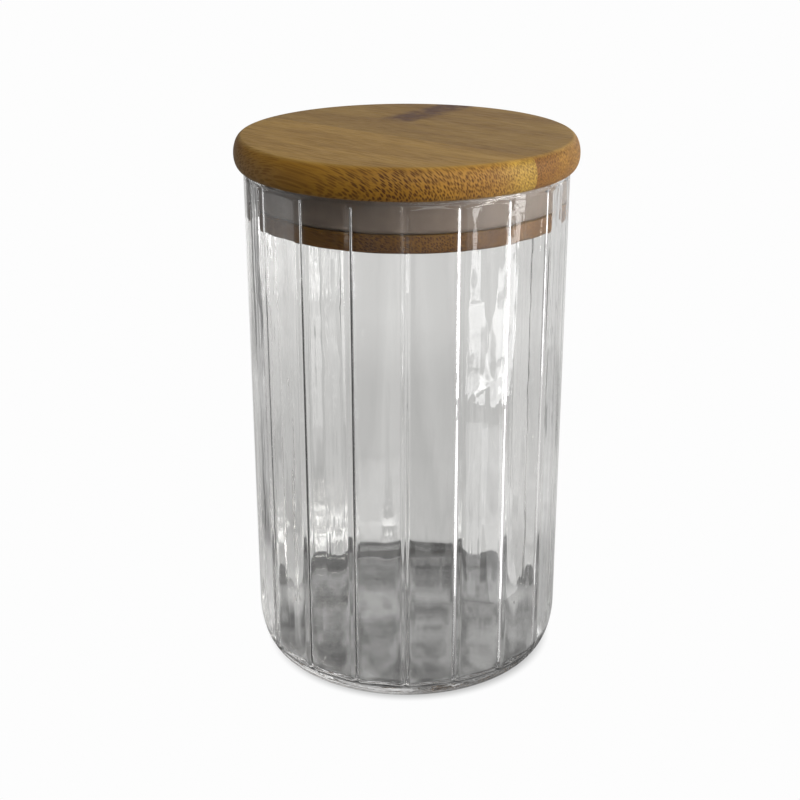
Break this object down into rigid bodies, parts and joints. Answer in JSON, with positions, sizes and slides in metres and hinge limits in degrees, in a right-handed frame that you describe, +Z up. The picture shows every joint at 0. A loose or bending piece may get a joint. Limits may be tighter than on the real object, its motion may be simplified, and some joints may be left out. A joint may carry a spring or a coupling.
{
  "type": "lidded glass canister",
  "caption": "Round glass storage jar, ribbed inside, with a lift-off bamboo lid whose plug carries a silicone seal in the jar's mouth.",
  "frame": {"origin": "middle of the standing face, on the jar's axis", "axes": "+Z up along the jar's axis, front at -Y, +X to the right seen from the front"},
  "size_m": [0.1056, 0.1056, 0.171],
  "materials": {
    "glass": "clear, polished",
    "silicone": "translucent, satin",
    "bamboo_plug": "satin",
    "bamboo_left": "satin",
    "bamboo_right": "satin"
  },
  "bodies": {
    "jar": {"glass_jar": "glass"},
    "lid": {"lid_board_left": "bamboo_left", "lid_board_right": "bamboo_right", "lid_plug": "bamboo_plug", "seal_ring": "silicone"}
  },
  "joints": [
    {"name": "lid_lift", "type": "slide", "parent": "jar", "child": "lid", "axis": [0, 0, 1], "range_m": [0, 0.06]}
  ]
}
